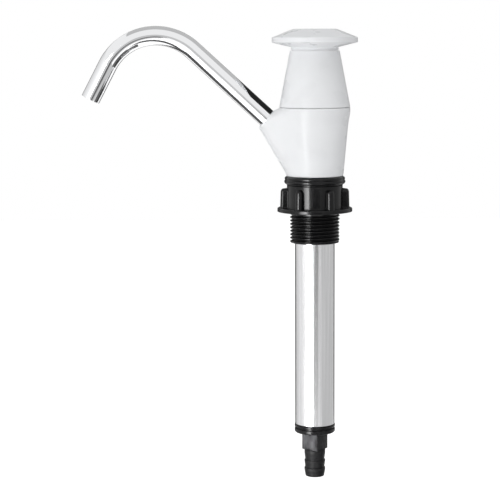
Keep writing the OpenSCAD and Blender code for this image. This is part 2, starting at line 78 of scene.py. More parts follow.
def fillet(corner, back, ahead, size, steps=5):
    """Points of the arc that rounds a corner between its two edges' unit directions."""
    half = math.acos(float(np.clip(back @ ahead, -1, 1))) / 2
    centre = corner + unit(back + ahead) * size / math.sin(half)
    start = corner + back * size / math.tan(half) - centre
    end = corner + ahead * size / math.tan(half) - centre
    turn = math.pi - 2 * half
    return [centre + (math.sin(turn * (1 - k / steps)) * start + math.sin(turn * k / steps) * end)
            / math.sin(turn) for k in range(steps + 1)]


def outline(*corners):
    """A closed outline from (r, z) or (r, z, fillet) corners. Each fillet has a short straight on either
    side of it, which keeps the flat faces flat when they are shaded smooth."""
    straight = 0.1
    degrees_a_step = 14
    points = []
    for i, corner in enumerate(corners):
        here = np.array(corner[:2], float)
        if len(corner) == 2:
            points.append(here)
            continue
        back = np.array(corners[i - 1][:2], float) - here
        ahead = np.array(corners[(i + 1) % len(corners)][:2], float) - here
        bend = math.degrees(math.pi - math.acos(unit(back) @ unit(ahead)))
        steps = max(3, round(bend / degrees_a_step))
        arc_points = fillet(here, unit(back), unit(ahead), corner[2], steps)
        if np.linalg.norm(back) > np.linalg.norm(arc_points[0] - here) + 2 * straight:
            arc_points.insert(0, arc_points[0] + unit(back) * straight)
        if np.linalg.norm(ahead) > np.linalg.norm(arc_points[-1] - here) + 2 * straight:
            arc_points.append(arc_points[-1] + unit(ahead) * straight)
        points += arc_points
    return points


def arc(centre_r, centre_z, size, start, end, steps=10):
    """Points of an arc in an outline, from one angle to another in degrees."""
    return [(centre_r + size * math.cos(math.radians(turn)), centre_z + size * math.sin(math.radians(turn)))
            for turn in np.linspace(start, end, steps + 1)]


def skinned(name, vertices, faces, crease=CREASE):
    """A smooth-shaded object from points in millimetres. Points that fall together are joined, and edges
    stay sharp that bend by more than the crease in degrees."""
    same_place = 0.0002
    mesh = bpy.data.meshes.new(name)
    mesh.from_pydata([tuple(point) for point in np.asarray(vertices, float) * MM], [], faces)
    shell = bmesh.new()
    shell.from_mesh(mesh)
    bmesh.ops.remove_doubles(shell, verts=shell.verts, dist=same_place * MM)
    bmesh.ops.recalc_face_normals(shell, faces=shell.faces)
    shell.to_mesh(mesh)
    shell.free()
    mesh.shade_smooth()
    mesh.set_sharp_from_angle(angle=math.radians(crease))
    piece = bpy.data.objects.new(name, mesh)
    bpy.context.scene.collection.objects.link(piece)
    return piece


def joined_rings(rings):
    """Faces between rings of as many points each, where each ring meets the next and the last the first."""
    faces = []
    for low, high in zip(rings, rings[1:] + rings[:1]):
        for k in range(len(low)):
            after = (k + 1) % len(low)
            face = list(dict.fromkeys([low[k], low[after], high[after], high[k]]))
            if len(face) > 2:
                faces.append(face)
    return faces


def even_turns(count):
    return np.linspace(0, 2 * math.pi, count, endpoint=False)


def lathe(name, points, turns, shape=None, crease=CREASE):
    """Turns a closed outline round the pump's axis. shape(r, z, turns) gives the reach of a ring that isn't
    round."""
    vertices, rings = [], []
    for r, z in points:
        if r < 1e-6:
            rings.append([len(vertices)] * len(turns))
            vertices.append((0, 0, z))
            continue
        reach = shape(r, z, turns) if shape else np.full(len(turns), r)
        rings.append(list(range(len(vertices), len(vertices) + len(turns))))
        vertices += [(out * math.cos(turn), out * math.sin(turn), z) for out, turn in zip(reach, turns)]
    return skinned(name, vertices, joined_rings(rings), crease)


def groove(r, depth, middle, height, upward=True):
    """Corners of a square groove for a ring of rubber cord, in the order in which the outline runs."""
    low, high = middle - height / 2, middle + height / 2
    first, last = (low, high) if upward else (high, low)
    return [(r, first), (r - depth, first), (r - depth, last), (r, last)]


def new_finish(name, colour, roughness, metallic=0.0):
    """A material and its surface shader, with what is the same all over set on the shader itself."""
    finish = bpy.data.materials.new(name)
    finish.use_nodes = True
    surface = finish.node_tree.nodes["Principled BSDF"]
    surface.inputs["Base Color"].default_value = (*colour, 1)
    surface.inputs["Roughness"].default_value = roughness
    surface.inputs["Metallic"].default_value = metallic
    return finish, surface


def grain(finish, per_metre, detail=3.0, stretch=(1, 1, 1), turn=(0, 0, 0)):
    """Noise that stays with the piece, with about that many grains to a metre."""
    nodes, links = finish.node_tree.nodes, finish.node_tree.links
    place = nodes.new("ShaderNodeTexCoord")
    size = nodes.new("ShaderNodeMapping")
    size.inputs["Scale"].default_value = stretch
    size.inputs["Rotation"].default_value = turn
    noise = nodes.new("ShaderNodeTexNoise")
    noise.inputs["Scale"].default_value = per_metre
    noise.inputs["Detail"].default_value = detail
    links.new(place.outputs["Object"], size.inputs["Vector"])
    links.new(size.outputs["Vector"], noise.inputs["Vector"])
    return noise.outputs["Fac"]


def vary_gloss(finish, surface, texture, smooth, rough):
    """Lets a texture move the roughness between two values."""
    span = finish.node_tree.nodes.new("ShaderNodeMapRange")
    span.inputs["From Min"].default_value = 0.35
    span.inputs["From Max"].default_value = 0.65
    span.inputs["To Min"].default_value = smooth
    span.inputs["To Max"].default_value = rough
    finish.node_tree.links.new(texture, span.inputs["Value"])
    finish.node_tree.links.new(span.outputs["Result"], surface.inputs["Roughness"])


def vary_colour(finish, surface, texture, dark, light):
    """Lets a texture move the colour between two others."""
    ramp = finish.node_tree.nodes.new("ShaderNodeValToRGB")
    ramp.color_ramp.elements[0].position = 0.32
    ramp.color_ramp.elements[0].color = (*dark, 1)
    ramp.color_ramp.elements[1].position = 0.68
    ramp.color_ramp.elements[1].color = (*light, 1)
    finish.node_tree.links.new(texture, ramp.inputs["Fac"])
    finish.node_tree.links.new(ramp.outputs["Color"], surface.inputs["Base Color"])


def roughen(finish, surface, texture, strength, depth_mm):
    """Lets a texture raise and sink the surface a little."""
    bump = finish.node_tree.nodes.new("ShaderNodeBump")
    bump.inputs["Strength"].default_value = strength
    bump.inputs["Distance"].default_value = depth_mm * MM
    finish.node_tree.links.new(texture, bump.inputs["Height"])
    finish.node_tree.links.new(bump.outputs["Normal"], surface.inputs["Normal"])


def moulded_nylon():
    finish, surface = new_finish("black_nylon", (0.004, 0.004, 0.0045), 0.2)
    surface.inputs["Specular IOR Level"].default_value = 0.28
    cloud = grain(finish, 170, 4)
    vary_colour(finish, surface, cloud, (0.003, 0.003, 0.0035), (0.005, 0.005, 0.0055))
    vary_gloss(finish, surface, cloud, 0.15, 0.21)
    roughen(finish, surface, grain(finish, 2600, 2), 0.06, 0.04)
    return finish


def coat(piece, finish):
    piece.data.materials.clear()
    piece.data.materials.append(finish)


def dress(piece, finish, slot, body, *nodes):
    """Gives a piece its finish and the body it rides on, and hides the CAD nodes that it stands for. The
    slot is not used.
    """
    coat(piece, finish)
    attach(piece, body)
    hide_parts(*nodes)


black_nylon = moulded_nylon()
THREAD_PITCH = 2.309
THREAD_DEPTH = 1.479
THREAD_V_H = 2.218
THREAD_CREST_H = 0.25
THREAD_START = 0.94
THREAD_CHAMFER = 0.6
THREAD_ROWS_PER_TURN = 20
THREAD_LEAD_H = 1.2
THREAD_FADE_H = 1.5
THREAD_TOP_GAP = 1
RUN_OUT_H = 0.8
RELIEF_DEPTH = 0.62
RELIEF_UP = 0.5
SEAT_GAP = 0.3
COLLAR_OUT = 2.4
COLLAR_H = 0.6
BEAD_LOW_R = 1.6
BEAD_LOW_UP = 1.4
BEAD_TOP_R = 1.3
BEAD_TOP_IN = 0.25
BEAD_TOP_DOWN = 1.75
HEAD_SEAT_IN = 1.6
SPIGOT_R = 14.5
SEAL_DEPTH = 1.6
SEAL_H = 1.8
SEAL_UP = 2.5
SEAL_DOWN = 2.6
CLIP_DEPTH = 1.4
CLIP_H = 1.6
CYLINDER_SEAL_DEPTH = 1.55
CYLINDER_SEAL_Z = 5.2
SLEEVE_BORE_R = 11.5
mounts = {mount["name"]: mount for mount in frame["record"]["mounts"]}
thread_r = mounts["thread"]["dims"]["r_mm"]
sleeve_foot_z = level("threaded_sleeve", 0)
spigot_top_z = level("threaded_sleeve", 1)
head_z = level("spout_body", 0)
nut_z = level("lock_nut", 0)
nut_top_z = level("lock_nut", 1)
tube_top_z = level("cylinder_tube", 1)
tube_r = radius("cylinder_tube")
relief_r = thread_r - RELIEF_DEPTH
relief_top_z = nut_z + RELIEF_UP
collar_z = nut_top_z + SEAT_GAP
collar_r = thread_r + COLLAR_OUT
thread_end_z = collar_z - THREAD_TOP_GAP
bead_z = collar_z + COLLAR_H
bead_reach = radius("threaded_sleeve")
seal_low_z = head_z + SEAL_UP
seal_high_z = spigot_top_z - SEAL_DOWN
clip_z = (seal_low_z + seal_high_z) / 2
socket_r = tube_r + RUN_GAP


def soft_clip(value):
    """Clips to 0..1 with a rounded bend at either end."""
    bend = 0.22
    low = np.where(value < bend, np.clip(value + bend, 0, None) ** 2 / (4 * bend), value)
    return np.where(low > 1 - bend, 1 - np.clip(1 + bend - low, 0, None) ** 2 / (4 * bend), low)


def thread_shape(r, z, turns):
    """The rounded 55 degree thread. It fades out into the chamfer, the relief and the collar."""
    if abs(r - thread_r) > 1e-6 or 0 < z < relief_top_z + 0.01 or z > thread_end_z:
        return np.full(len(turns), r)
    phase = ((z + THREAD_START) / THREAD_PITCH - turns / (2 * math.pi)) % 1
    flank = soft_clip((np.abs(2 * phase - 1) * THREAD_V_H - THREAD_CREST_H) / THREAD_DEPTH)
    fade = min((z - sleeve_foot_z) / THREAD_LEAD_H, 1)
    run_out = min(max(1 + z / RUN_OUT_H, 0), 1)
    if z > 0:
        fade = min((z - relief_top_z) / THREAD_FADE_H, (thread_end_z - z) / THREAD_FADE_H, 1)
        run_out = 0
    cut = thread_r - THREAD_DEPTH * (1 - flank) * fade
    cut = cut * (1 - run_out) + relief_r * run_out
    return np.minimum(cut, thread_r - THREAD_CHAMFER + z - sleeve_foot_z)


def thread_rows(low, high):
    """Corners up the thread, close enough together to follow its flanks."""
    return [(thread_r, z) for z in np.arange(low, high, THREAD_PITCH / THREAD_ROWS_PER_TURN)]


sleeve = lathe("sleeve", outline(
    (socket_r, sleeve_foot_z, EDGE), (thread_r - THREAD_CHAMFER, sleeve_foot_z),
    *thread_rows(sleeve_foot_z + 0.1, -0.02), (relief_r, 0), (relief_r, relief_top_z),
    *thread_rows(relief_top_z, thread_end_z + 0.1), (thread_r, collar_z), (collar_r, collar_z, 0.2),
    (collar_r, bead_z), *arc(bead_reach - BEAD_LOW_R, bead_z + BEAD_LOW_UP, BEAD_LOW_R, -58, 50),
    *arc(bead_reach - BEAD_TOP_IN - BEAD_TOP_R, head_z - BEAD_TOP_DOWN, BEAD_TOP_R, -42, 78),
    (bead_reach - HEAD_SEAT_IN, head_z), (SPIGOT_R, head_z),
    *groove(SPIGOT_R, SEAL_DEPTH, seal_low_z, SEAL_H), *groove(SPIGOT_R, CLIP_DEPTH, clip_z, CLIP_H),
    *groove(SPIGOT_R, SEAL_DEPTH, seal_high_z, SEAL_H), (SPIGOT_R, spigot_top_z, 0.5),
    (SLEEVE_BORE_R, spigot_top_z, EDGE), (SLEEVE_BORE_R, tube_top_z), (socket_r, tube_top_z),
    *groove(socket_r, -CYLINDER_SEAL_DEPTH, CYLINDER_SEAL_Z, SEAL_H, upward=False)),
    even_turns(192), thread_shape, crease=58)
dress(sleeve, black_nylon, "black_plastic", "base", "threaded_sleeve")


# ---------------------------------------------------------------- lock nut
# Black nylon nut on the thread, with six round-topped finger ribs that stand on a broad flange. It is run
# down by hand until the flange, with a gasket cord in its underside, bears on the jug's cap or on the panel.
NUT_WALL = 2.05
NUT_GAP = 0.075
NUT_TOP_ROUND = 0.4
FLANGE_H = 2.6
FOOT_FILLET = 0.4
GASKET_IN_R = 18.5
GASKET_OUT_R = 20.2
GASKET_DEPTH = 1.65
RIB_COUNT = 6
RIB_TOP_DOWN = 2.1
RIB_HALF_W = 2.6
RIB_REACH = 4.63
RIB_LEAN = 0.5
RIB_WALL_SLOPE = 0.5
RIB_REST_TURN = math.radians(-2.5)
RIB_WALL_SPREAD = [0.35, 0.18, 0.02, -0.07, -0.16, -0.27, -0.38, -0.5]
WALL_STEP = 0.6
ARCH_STEP = 0.08
nut_r = thread_r + NUT_WALL
nut_bore_r = thread_r + NUT_GAP
flange_r = radius("lock_nut")
flange_top_z = nut_z + FLANGE_H
rib_gauge_r = nut_r + 1
rib_step = 2 * math.pi / RIB_COUNT
rib_top_z = nut_top_z - RIB_TOP_DOWN
rib_arch_z = rib_top_z - RIB_HALF_W


def rib_shape(r, z, turns):
    """Raises the ribs from the nut's round wall, and flares both out into the flange."""
    if abs(r - nut_r) > 1e-6:
        return np.full(len(turns), r)
    off = (turns - RIB_REST_TURN + rib_step / 2) % rib_step - rib_step / 2
    inside = np.clip(RIB_HALF_W - np.hypot(off * rib_gauge_r, max(z - rib_arch_z, 0)), 0, RIB_HALF_W)
    crown = RIB_HALF_W - np.sqrt(RIB_HALF_W ** 2 - (RIB_HALF_W - inside) ** 2)
    rise = 1 - (1 - np.clip(inside / RIB_WALL_SLOPE, 0, 1)) ** 2
    height = (RIB_REACH - RIB_LEAN * (z - nut_z) / (rib_top_z - nut_z) - crown) * rise
    flare = max(FOOT_FILLET - (z - flange_top_z), 0)
    return r + height + FOOT_FILLET - math.sqrt(FOOT_FILLET ** 2 - flare ** 2)


def rib_turns():
    """Turns round the nut, close together on the walls of the ribs."""
    wall = RIB_HALF_W + np.array(RIB_WALL_SPREAD)
    wall = np.concatenate([wall, np.linspace(wall[-1], 0.15, 13)[1:]]) / rib_gauge_r
    plain = np.linspace(wall[0], rib_step - wall[0], 9)[1:-1]
    sector = np.concatenate([-wall, wall, plain])
    return np.sort(np.concatenate([(sector + RIB_REST_TURN + i * rib_step) % (2 * math.pi)
                                   for i in range(RIB_COUNT)]))


wall_levels = np.concatenate([flange_top_z + FOOT_FILLET * (1 - np.cos(np.linspace(0, math.pi / 2, 6))),
                              np.arange(flange_top_z + 0.9, rib_arch_z, WALL_STEP),
                              np.arange(rib_arch_z, rib_top_z + 0.12, ARCH_STEP), [nut_top_z - 0.5]])
lock_nut = lathe("lock_nut_ribbed", outline(
    (nut_bore_r, nut_z, 0.25), (GASKET_IN_R, nut_z), (GASKET_IN_R, nut_z + GASKET_DEPTH),
    (GASKET_OUT_R, nut_z + GASKET_DEPTH), (GASKET_OUT_R, nut_z), (flange_r, nut_z, 0.35),
    (flange_r, flange_top_z, 0.9), *[(nut_r, z) for z in wall_levels],
    *arc(nut_r - NUT_TOP_ROUND - 0.02, nut_top_z - NUT_TOP_ROUND, NUT_TOP_ROUND, 0, 90, 5),
    (nut_bore_r, nut_top_z, 0.25)), rib_turns(), rib_shape, crease=44)
dress(lock_nut, black_nylon, "black_plastic", "nut", "lock_nut")


# ---------------------------------------------------------------- pump cylinder
# Drawn aluminium tube with a satin anodised finish, pushed into the sleeve. The drawing leaves fine streaks
# along it.
def drawn_aluminium():
    finish, surface = new_finish("satin_aluminium", (0.8, 0.8, 0.81), 0.26, 1.0)
    streaks = grain(finish, 800, 3, stretch=(1, 1, 0.012))
    vary_colour(finish, surface, streaks, (0.74, 0.74, 0.75), (0.84, 0.84, 0.85))
    vary_gloss(finish, surface, streaks, 0.17, 0.27)
    roughen(finish, surface, grain(finish, 2200, 2, stretch=(1, 1, 0.02)), 0.12, 0.03)
    return finish


satin_aluminium = drawn_aluminium()
TUBE_WALL = 1.4
TUBE_BEVEL = 0.7
tube_foot_z = level("cylinder_tube", 0)
cylinder = lathe("pump_cylinder", outline(
    (tube_r - TUBE_WALL, tube_foot_z, 0.2), (tube_r - TUBE_BEVEL, tube_foot_z),
    (tube_r, tube_foot_z + TUBE_BEVEL), (tube_r, tube_top_z, EDGE),
    (tube_r - TUBE_WALL, tube_top_z, 0.2)), even_turns(160))
dress(cylinder, satin_aluminium, "aluminium", "base", "cylinder_tube")


# ---------------------------------------------------------------- foot fitting
# Black moulding that closes the cylinder: a grooved ring, a square block for a spanner and a barb for the
# hose. Its spigot, inside the cylinder, holds the foot valve. The block is scuffed by the spanner, and
# its pale scuffs are painted only on the -X side, which faces the lamps, so they are painted sheen as well
# as wear.
def along_axis(finish, axis, start, end, start_value=0.0, end_value=1.0):
    """A value that changes steadily along an axis of the piece, between two places on it in metres."""
    nodes, links = finish.node_tree.nodes, finish.node_tree.links
    place = nodes.new("ShaderNodeTexCoord")
    split = nodes.new("ShaderNodeSeparateXYZ")
    span = nodes.new("ShaderNodeMapRange")
    span.inputs["From Min"].default_value = start
    span.inputs["From Max"].default_value = end
    span.inputs["To Min"].default_value = start_value
    span.inputs["To Max"].default_value = end_value
    links.new(place.outputs["Object"], split.inputs["Vector"])
    links.new(split.outputs[axis], span.inputs["Value"])
    return span.outputs["Result"]


def scuffed_nylon():
    """Black nylon with pale scuff patches, painted only toward the -X side, which faces the lamps: painted
    sheen as well as wear.
    """
    finish, surface = new_finish("scuffed_nylon", (0.014, 0.014, 0.015), 0.5)
    surface.inputs["Specular IOR Level"].default_value = 0.35
    patches = grain(finish, 230, 6, stretch=(1, 1, 0.45), turn=(0.4, 0.9, 0))
    vary_colour(finish, surface, patches, (0.004, 0.004, 0.005), (0.17, 0.17, 0.18))
    links = finish.node_tree.links
    # Painted sheen: the pale scuff patches show only toward the -X side, which faces the lamps, and the +X
    # side stays plain dark
    lit_side_painted_sheen = finish.node_tree.nodes.new("ShaderNodeMix")
    lit_side_painted_sheen.data_type = "RGBA"
    lit_side_painted_sheen.inputs["A"].default_value = (0.009, 0.009, 0.01, 1)
    links.new(along_axis(finish, "X", 2.2 * MM, 0.6 * MM), lit_side_painted_sheen.inputs["Factor"])
    links.new(surface.inputs["Base Color"].links[0].from_socket, lit_side_painted_sheen.inputs["B"])
    links.new(lit_side_painted_sheen.outputs["Result"], surface.inputs["Base Color"])
    vary_gloss(finish, surface, grain(finish, 520, 5), 0.4, 0.65)
    roughen(finish, surface, grain(finish, 1300, 5), 0.5, 0.1)
    return finish


def foot_nylon(dull_below, glossy_above):
    """Black nylon that is glossy on the ring and dull on the barb, which the hose rubs."""
    finish, surface = new_finish("foot_nylon", (0.006, 0.006, 0.0065), 0.3)
    surface.inputs["Specular IOR Level"].default_value = 0.25
    vary_colour(finish, surface, grain(finish, 420, 5), (0.002, 0.002, 0.0025), (0.016, 0.016, 0.017))
    gloss = along_axis(finish, "Z", dull_below * MM, glossy_above * MM, 0.5, 0.18)
    finish.node_tree.links.new(gloss, surface.inputs["Roughness"])
    roughen(finish, surface, grain(finish, 1500, 4), 0.25, 0.08)
    return finish


def weld(piece, other, way="UNION"):
    """Joins a closed piece with another that overlaps it, or cuts the other out of it."""
    join = piece.modifiers.new("join", "BOOLEAN")
    join.operation = way
    join.solver = "EXACT"
    join.object = other
    whole = bpy.data.meshes.new_from_object(piece.evaluated_get(bpy.context.evaluated_depsgraph_get()))
    piece.modifiers.clear()
    piece.data = whole
    bpy.data.objects.remove(other)
    piece.data.shade_smooth()
    piece.data.set_sharp_from_angle(angle=math.radians(CREASE))


def bar(name, size, middle, turn, bevel):
    """A box in millimetres with rounded edges, put in place and then turned about the pump's axis."""
    form = bmesh.new()
    bmesh.ops.create_cube(form, size=1)
    bmesh.ops.scale(form, vec=size, verts=form.verts)
    if bevel:
        bmesh.ops.bevel(form, geom=form.edges[:], offset=bevel, segments=3, profile=0.5, affect="EDGES")
    bmesh.ops.translate(form, vec=middle, verts=form.verts)
    bmesh.ops.rotate(form, matrix=Matrix.Rotation(turn, 3, "Z"), verts=form.verts)
    points = [tuple(vertex.co) for vertex in form.verts]
    faces = [[vertex.index for vertex in face.verts] for face in form.faces]
    form.free()
    return skinned(name, points, faces)


BLOCK_SIDE = 12.6
BLOCK_H = 12.1
BLOCK_LAP = 0.4
BLOCK_TURN = math.radians(-38)
BLOCK_EDGE = 0.4
BLOCK_BORE_R = 4.8
BARB_ROOT_R = 6.45
BARB_NECK_R = 6.7
BARB_BORE_R = 3.6
BARB_NOSE = 0.1
# Each tooth's top below the block, the height of its land, and where its taper ends below the block
BARB_TEETH = ((0.3, 2.4, 7.45), (7.45, 0.7, 12.8), (12.8, 1.6, 18))
STEM_IN = 0.2
STEM_LAP = 0.5
FOOT_RING_H = 5.4
RING_GROOVE_DOWN = 1.7
RING_GROOVE_H = 0.8
RING_GROOVE_DEPTH = 1.1
FOOT_SEAL_UP = 4.5
FOOT_SEAT_UP = 2.05
FOOT_CHAMBER_R = 8
FOOT_CAGE_R = 8.55
FOOT_CAGE_H = 3
barb_r = mounts["hose_tail"]["dims"]["r_mm"]
foot_z = level("foot_fitting", 0)
foot_top_z = level("foot_fitting", 1)
foot_r = radius("foot_fitting")
spigot_wall_r = tube_r - TUBE_WALL - RUN_GAP
ring_groove_z = tube_foot_z - RING_GROOVE_DOWN
ring_waist_r = foot_r - RING_GROOVE_DEPTH
block_z = tube_foot_z - FOOT_RING_H
barb_z = block_z - BLOCK_H
foot_seat_z = block_z + FOOT_SEAT_UP
stem_r = BLOCK_SIDE / 2 - STEM_IN
teeth = [(BARB_NECK_R, barb_z + STEM_LAP), (BARB_NECK_R, barb_z - BARB_TEETH[0][0])]
for tooth_top, land, root in BARB_TEETH:
    teeth += [(barb_r, barb_z - tooth_top, 0.1), (barb_r, barb_z - tooth_top - land, 0.1),
              (BARB_ROOT_R, barb_z - root)]
foot = lathe("foot_body", outline(
    (BARB_BORE_R, foot_z, EDGE), (BARB_ROOT_R - BARB_NOSE, foot_z, 0.4), *teeth[::-1],
    (stem_r, barb_z + STEM_LAP), (stem_r, block_z), (foot_r, block_z, 1),
    (foot_r, ring_groove_z - RING_GROOVE_H, 0.5), (ring_waist_r, ring_groove_z - RING_GROOVE_H),
    (ring_waist_r, ring_groove_z), (foot_r, ring_groove_z, 0.5), (foot_r, tube_foot_z, EDGE),
    (spigot_wall_r, tube_foot_z), *groove(spigot_wall_r, SEAL_DEPTH, tube_foot_z + FOOT_SEAL_UP, SEAL_H),
    (spigot_wall_r, foot_top_z, 0.4), (FOOT_CAGE_R, foot_top_z), (FOOT_CAGE_R, foot_top_z - FOOT_CAGE_H),
    (FOOT_CHAMBER_R, foot_top_z - FOOT_CAGE_H),
    (FOOT_CHAMBER_R, foot_seat_z + FOOT_CHAMBER_R - BARB_BORE_R),
    (BARB_BORE_R, foot_seat_z)), even_turns(120))
block = bar("block", (BLOCK_SIDE, BLOCK_SIDE, BLOCK_H + BLOCK_LAP),
            (0, 0, barb_z + BLOCK_H / 2 + BLOCK_LAP / 2), BLOCK_TURN, BLOCK_EDGE)
weld(block, lathe("block_bore", outline(
    (0, barb_z - 2), (BLOCK_BORE_R, barb_z - 2), (BLOCK_BORE_R, block_z + 2), (0, block_z + 2)),
    even_turns(64)), "DIFFERENCE")
dress(foot, foot_nylon(block_z - 1, block_z + 1), "black_plastic", "base", "foot_fitting")
dress(block, scuffed_nylon(), "black_plastic", "base")


# ---------------------------------------------------------------- head
# White moulding that carries the spout. Its waisted round body draws out into a beak, whose end face stands
# square to the spout. It turns on the sleeve's spigot, and its top holds the rod's gland.
def moulded_white():
    finish, surface = new_finish("white_moulding", (0.84, 0.85, 0.865), 0.3)
    surface.inputs["Specular IOR Level"].default_value = 0.1
    cloud = grain(finish, 60, 3)
    vary_colour(finish, surface, cloud, (0.825, 0.835, 0.85), (0.85, 0.86, 0.875))
    vary_gloss(finish, surface, cloud, 0.25, 0.33)
    roughen(finish, surface, grain(finish, 900, 2), 0.06, 0.04)
    return finish


white_moulding = moulded_white()
SPOUT_R = 6.35
SPOUT_RISE = math.radians(42.6)
BEAK_OUT = 31.7
BEAK_DOWN = 6.96
BEAK_R = 7.5
BEAK_DROP = 0.65
BEAK_EDGE = 0.3
SOCKET_DEPTH = 17
WATER_WAY_R = 4.5
WATER_WAY_H = 4
HEAD_FOOT_R = 19.05
HEAD_FOOT_ROUND = 0.7
HEAD_SHOULDER_UP = 34.3
HEAD_SHOULDER_R = 22.2
HEAD_SHOULDER_SOFT = 2.2
HEAD_BAND_H = 3.1
HEAD_TOP_R = 23.6
HEAD_TOP_ROUND = 0.25
LOCATOR_IN = 3.1
LOCATOR_H = 1.2
CAVITY_IN = 3.5
BORE_TOP_GAP = 0.5
GLAND_R = 8
GLAND_DEPTH = 12
SEPTUM_H = 5
ROD_GAP = 0.3
HEAD_CLIP_DEPTH = 0.7
SKIN_TURNS = 168
SKIN_SIDE = 44
SKIN_ROWS = 52
SKIN_SOFT = 1.2
SKIN_FIRST_STEP = 1.1
SKIN_SPREAD = 1.6
FLANK_START = 0.1
FLANK_FADE = 0.25
rod_r = radius("piston_rod")
head_top_z = level("spout_body", 1) - LOCATOR_H
shoulder_z = head_z + HEAD_SHOULDER_UP
band_z = head_top_z - HEAD_BAND_H
gland_z = head_top_z - GLAND_DEPTH
beak_face = np.array([-BEAK_OUT, 0, head_top_z - BEAK_DOWN])
spout_way = np.array([-math.cos(SPOUT_RISE), 0, math.sin(SPOUT_RISE)])
spout_up = np.array([math.sin(SPOUT_RISE), 0, math.cos(SPOUT_RISE)])
across = np.array([0.0, 1.0, 0.0])


def head_radius(z):
    """The round body's radius: a straight taper, a soft shoulder and an upright band under the grip."""
    beyond = 5
    levels = [head_z - beyond, shoulder_z, band_z, head_top_z + beyond]
    lean = (HEAD_SHOULDER_R - HEAD_FOOT_R) / (shoulder_z - head_z)
    radii = [HEAD_FOOT_R - beyond * lean, HEAD_SHOULDER_R, HEAD_TOP_R, HEAD_TOP_R]
    nearby = z + np.linspace(-HEAD_SHOULDER_SOFT, HEAD_SHOULDER_SOFT, 23)
    return float(np.mean(np.interp(nearby, levels, radii)))


def beak_ring(turn, size, depth=0.0, drop=0.0):
    """A point round the spout's axis, at a depth below the beak's end face. The beak's rim hangs a little
    lower than the tube in it."""
    middle = beak_face - spout_way * depth - spout_up * drop
    return middle + size * (math.cos(turn) * spout_up + math.sin(turn) * across)


def beak_form():
    """The skin stretched from the beak's end face over the near half of the round body, just inside it."""
    sunk = 0.25
    form = bmesh.new()
    for turn in even_turns(360):
        form.verts.new(beak_ring(turn, BEAK_R, drop=BEAK_DROP))
        for z in (head_z + 1, band_z, head_top_z - 0.2):
            reach = head_radius(z) - sunk
            if math.cos(turn) < 0.05:
                form.verts.new((reach * math.cos(turn), reach * math.sin(turn), z))
    bmesh.ops.convex_hull(form, input=form.verts)
    tree = BVHTree.FromBMesh(form)
    form.free()
    return tree


def head_point(turn, z, beak):
    """A point of the head's skin, at a turn from the beak's side: round body and beak, softly joined. The
    beak's share fades out toward the head's flanks."""
    way = Vector((-math.cos(turn), math.sin(turn), 0))
    reach = head_radius(z)
    hit = beak.ray_cast(Vector((0, 0, z)) + way * 200, -way)[0]
    if hit is not None:
        drawn = math.hypot(hit.x, hit.y)
        near = max(SKIN_SOFT - abs(reach - drawn), 0)
        joined = max(reach, drawn) + near * near / (4 * SKIN_SOFT)
        reach += (joined - reach) * np.clip((math.cos(turn) - FLANK_START) / FLANK_FADE, 0, 1)
    return np.array([way.x * reach, way.y * reach, z])


def side_levels(high, low):
    """Levels down the back of the head, closer together at the band and the shoulder."""
    spots = np.linspace(0, 1, SKIN_SIDE + 1)
    even = 0.45
    return high + (low - high) * (even * spots + (1 - even) * spots ** 2)


def skin_line(spin, turn, z, beak):
    """Points from the bottom of the socket, over the beak's rim, to a place on the round body."""
    hole_r = SPOUT_R + RUN_GAP
    socket = [(0.0, SOCKET_DEPTH + WATER_WAY_H), (WATER_WAY_R, SOCKET_DEPTH + WATER_WAY_H),
              (WATER_WAY_R, SOCKET_DEPTH), (hole_r, SOCKET_DEPTH), (hole_r, EDGE), (hole_r + 0.03, 0.0)]
    rim = beak_ring(spin, BEAK_R, drop=BEAK_DROP)
    rim_spot = np.array([math.atan2(rim[1], -rim[0]), rim[2]])
    first = SKIN_FIRST_STEP / np.linalg.norm(head_point(turn, z, beak) - rim)
    shares = first + (1 - first) * np.linspace(0, 1, SKIN_ROWS) ** SKIN_SPREAD
    spots = [rim_spot + share * (np.array([turn, z]) - rim_spot) for share in shares]
    line = [head_point(*spot, beak) for spot in spots]
    inward = -unit(beak_ring(spin, 1) - beak_face)
    points = [beak_ring(spin, size, depth) for size, depth in socket]
    return points + fillet(rim, inward, unit(line[0] - rim), BEAK_EDGE, 6) + line


def inside_rings():
    """Radius and level of the rings inside the head, from the gland's pocket down to the spigot's bore."""
    bore_r = SPIGOT_R + RUN_GAP
    bore_top_z = spigot_top_z + BORE_TOP_GAP
    cavity_r = SPIGOT_R - CAVITY_IN
    septum_z = gland_z - SEPTUM_H
    locator_r = HEAD_TOP_R - LOCATOR_IN
    locator_z = head_top_z + LOCATOR_H
    return [(locator_r, head_top_z), (locator_r, locator_z - EDGE), (locator_r - EDGE, locator_z),
            (GLAND_R + EDGE, locator_z), (GLAND_R, locator_z - EDGE), (GLAND_R, gland_z),
            (rod_r + ROD_GAP, gland_z), (rod_r + ROD_GAP, septum_z), (cavity_r, septum_z),
            (cavity_r, bore_top_z), (bore_r, bore_top_z),
            *groove(bore_r, -HEAD_CLIP_DEPTH, clip_z, CLIP_H, upward=False),
            (bore_r, head_z + EDGE), (bore_r + EDGE, head_z)]


